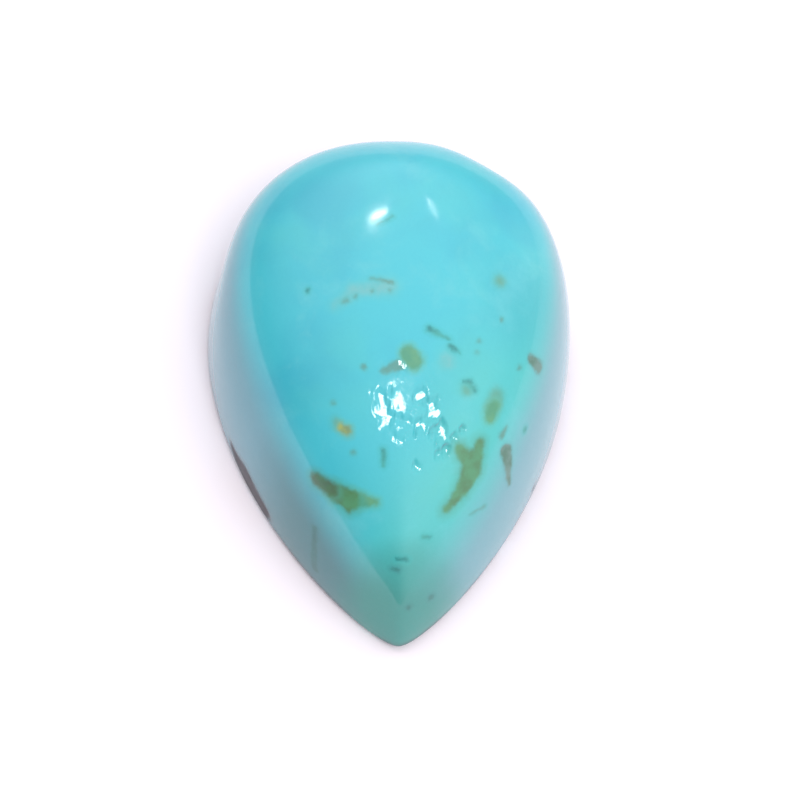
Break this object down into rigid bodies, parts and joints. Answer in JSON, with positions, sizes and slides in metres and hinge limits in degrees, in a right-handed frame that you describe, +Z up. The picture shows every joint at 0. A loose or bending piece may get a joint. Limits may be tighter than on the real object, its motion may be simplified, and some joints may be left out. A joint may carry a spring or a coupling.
{
  "type": "turquoise pear cabochon",
  "caption": "Polished turquoise stone, a high-domed pear cabochon with steep walls, a ridge at the pointed end and a flat ground base that it rests on.",
  "frame": {"origin": "middle of the flat base, on the surface that the stone rests on", "axes": "+Y from the pointed end to the round end, +Z up through the dome, +X across the width"},
  "size_m": [0.01, 0.0132, 0.0064],
  "materials": {
    "turquoise": "polished turquoise, blue with greener clouds and olive to brown matrix flecks, base ground matt"
  },
  "bodies": {
    "root": {"turquoise_cabochon": "turquoise"}
  },
  "joints": []
}
